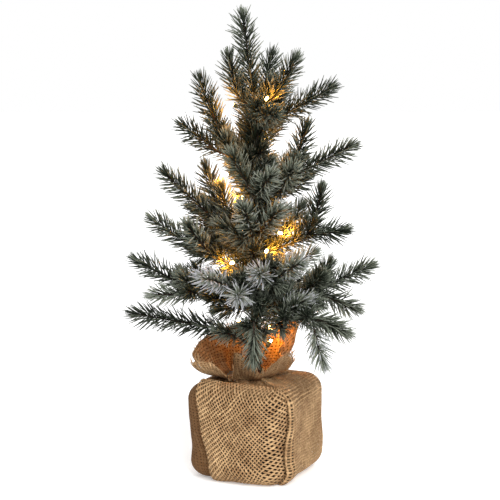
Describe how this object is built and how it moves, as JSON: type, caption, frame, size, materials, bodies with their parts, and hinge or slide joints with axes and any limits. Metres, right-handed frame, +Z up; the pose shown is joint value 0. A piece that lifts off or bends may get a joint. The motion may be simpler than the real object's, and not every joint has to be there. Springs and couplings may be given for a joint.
{
  "type": "artificial tabletop tree",
  "caption": "Small frosted artificial fir with bendable branches and warm lights, standing in a burlap-wrapped weighted block with a battery case in its underside.",
  "frame": {"origin": "middle of the flat underside, on the trunk's axis", "axes": "+Z up the trunk, -Y towards the front, +X to the right seen from the front"},
  "size_m": [0.242, 0.176, 0.4468],
  "materials": {
    "felt": "matte",
    "shell": "satin",
    "cast": "matte",
    "burlap": "matte",
    "twine": "matte",
    "dark_plastic": "satin",
    "steel": "satin",
    "bark_tape": "matte",
    "cell_sleeve": "gloss",
    "board": "satin",
    "switch_white": "satin",
    "lead_green": "satin",
    "bulb": "gloss",
    "frosted_needles": "matte"
  },
  "bodies": {
    "base": {"bottom_pad": "felt", "base_shell": "shell", "ballast": "cast", "burlap_wrap": "burlap", "burlap_ruffle": "burlap", "neck_tie": "twine", "trunk_socket": "dark_plastic", "trunk_core": "steel", "trunk_wrap": "bark_tape", "battery_case": "dark_plastic", "cells": "cell_sleeve", "contact_springs": "steel", "contact_plates": "steel", "timer_board": "board", "string_lead": "lead_green", "bulb_holders": "lead_green", "bulbs": "bulb"},
    "door": {"battery_door": "dark_plastic", "door_screw": "steel"},
    "switch": {"switch_slider": "switch_white"},
    "leader": {"leader_wire": "bark_tape", "leader_tips": "frosted_needles"},
    "left_upper": {"left_upper_wire": "bark_tape", "left_upper_tips": "frosted_needles"},
    "right_top": {"right_top_wire": "bark_tape", "right_top_tips": "frosted_needles"},
    "right_upper": {"right_upper_wire": "bark_tape", "right_upper_tips": "frosted_needles"},
    "front_upper": {"front_upper_wire": "bark_tape", "front_upper_tips": "frosted_needles"},
    "front_mid": {"front_mid_wire": "bark_tape", "front_mid_tips": "frosted_needles"},
    "left_high": {"left_high_wire": "bark_tape", "left_high_tips": "frosted_needles"},
    "left_mid": {"left_mid_wire": "bark_tape", "left_mid_tips": "frosted_needles"},
    "left_low": {"left_low_wire": "bark_tape", "left_low_tips": "frosted_needles"},
    "left_lowest": {"left_lowest_wire": "bark_tape", "left_lowest_tips": "frosted_needles"},
    "right_mid": {"right_mid_wire": "bark_tape", "right_mid_tips": "frosted_needles"},
    "right_low": {"right_low_wire": "bark_tape", "right_low_tips": "frosted_needles"},
    "right_lowest": {"right_lowest_wire": "bark_tape", "right_lowest_tips": "frosted_needles"},
    "front_right": {"front_right_wire": "bark_tape", "front_right_tips": "frosted_needles"},
    "front_left": {"front_left_wire": "bark_tape", "front_left_tips": "frosted_needles"},
    "front_low": {"front_low_wire": "bark_tape", "front_low_tips": "frosted_needles"},
    "back_upper": {"back_upper_wire": "bark_tape", "back_upper_tips": "frosted_needles"},
    "back_high": {"back_high_wire": "bark_tape", "back_high_tips": "frosted_needles"},
    "back_mid": {"back_mid_wire": "bark_tape", "back_mid_tips": "frosted_needles"},
    "back_low": {"back_low_wire": "bark_tape", "back_low_tips": "frosted_needles"}
  },
  "joints": [
    {"name": "door_hinge", "type": "hinge", "parent": "base", "child": "door", "pos_m": [-0.01158, -0.02483, 0.00295], "axis": [-0.9063, 0.4226, 0], "range_deg": [0, 90]},
    {"name": "switch_slide", "type": "slide", "parent": "base", "child": "switch", "axis": [0.9063, -0.4226, 0], "range_m": [-0.004, 0]},
    {"name": "leader_bend", "type": "hinge", "parent": "base", "child": "leader", "pos_m": [0, 0, 0.346], "axis": [0, 1, 0], "range_deg": [-6, 6]},
    {"name": "left_upper_bend", "type": "hinge", "parent": "base", "child": "left_upper", "pos_m": [-0.00487, 0.00043, 0.294], "axis": [0.0872, 0.9962, 0], "range_deg": [-8, 8]},
    {"name": "right_top_bend", "type": "hinge", "parent": "base", "child": "right_top", "pos_m": [0.00454, 0.0008, 0.334], "axis": [0.1736, -0.9848, 0], "range_deg": [-6, 8]},
    {"name": "right_upper_bend", "type": "hinge", "parent": "base", "child": "right_upper", "pos_m": [0.00509, -0.00036, 0.264], "axis": [-0.0698, -0.9976, 0], "range_deg": [-4, 6]},
    {"name": "front_upper_bend", "type": "hinge", "parent": "base", "child": "front_upper", "pos_m": [-0.00088, -0.005, 0.268], "axis": [-0.9848, 0.1736, 0], "range_deg": [-5, 8]},
    {"name": "front_mid_bend", "type": "hinge", "parent": "base", "child": "front_mid", "pos_m": [-0.00075, -0.0053, 0.228], "axis": [-0.9903, 0.1392, 0], "range_deg": [-8, 6]},
    {"name": "left_high_bend", "type": "hinge", "parent": "base", "child": "left_high", "pos_m": [-0.00535, 0.00019, 0.228], "axis": [0.0349, 0.9994, 0], "range_deg": [-8, 8]},
    {"name": "left_mid_bend", "type": "hinge", "parent": "base", "child": "left_mid", "pos_m": [-0.00555, -0.00058, 0.196], "axis": [-0.1045, 0.9945, 0], "range_deg": [-8, 8]},
    {"name": "left_low_bend", "type": "hinge", "parent": "base", "child": "left_low", "pos_m": [-0.00576, 0.00081, 0.162], "axis": [0.1392, 0.9903, 0], "range_deg": [-5, 8]},
    {"name": "left_lowest_bend", "type": "hinge", "parent": "base", "child": "left_lowest", "pos_m": [-0.00605, -0.00042, 0.126], "axis": [-0.0698, 0.9976, 0], "range_deg": [-6, 3]},
    {"name": "right_mid_bend", "type": "hinge", "parent": "base", "child": "right_mid", "pos_m": [0.00533, -0.00113, 0.214], "axis": [-0.2079, -0.9781, 0], "range_deg": [-8, 4]},
    {"name": "right_low_bend", "type": "hinge", "parent": "base", "child": "right_low", "pos_m": [0.00579, 0.0004, 0.164], "axis": [0.0698, -0.9976, 0], "range_deg": [-8, 8]},
    {"name": "right_lowest_bend", "type": "hinge", "parent": "base", "child": "right_lowest", "pos_m": [0.00465, -0.00363, 0.15], "axis": [-0.6157, -0.788, 0], "range_deg": [-8, 8]},
    {"name": "front_right_bend", "type": "hinge", "parent": "base", "child": "front_right", "pos_m": [0.00362, -0.00432, 0.188], "axis": [-0.766, -0.6428, 0], "range_deg": [-8, 8]},
    {"name": "front_left_bend", "type": "hinge", "parent": "base", "child": "front_left", "pos_m": [-0.0035, -0.00448, 0.18], "axis": [-0.788, 0.6157, 0], "range_deg": [-8, 8]},
    {"name": "front_low_bend", "type": "hinge", "parent": "base", "child": "front_low", "pos_m": [-0.00021, -0.00597, 0.14], "axis": [-0.9994, 0.0349, 0], "range_deg": [-6, 6]},
    {"name": "back_upper_bend", "type": "hinge", "parent": "base", "child": "back_upper", "pos_m": [-0.00067, 0.00479, 0.302], "axis": [0.9903, 0.1392, 0], "range_deg": [-8, 8]},
    {"name": "back_high_bend", "type": "hinge", "parent": "base", "child": "back_high", "pos_m": [0.00213, 0.00478, 0.246], "axis": [0.9135, -0.4067, 0], "range_deg": [-8, 8]},
    {"name": "back_mid_bend", "type": "hinge", "parent": "base", "child": "back_mid", "pos_m": [-0.00308, 0.00457, 0.206], "axis": [0.829, 0.5592, 0], "range_deg": [-8, 8]},
    {"name": "back_low_bend", "type": "hinge", "parent": "base", "child": "back_low", "pos_m": [0.00121, 0.00572, 0.158], "axis": [0.9781, -0.2079, 0], "range_deg": [-8, 8]}
  ]
}
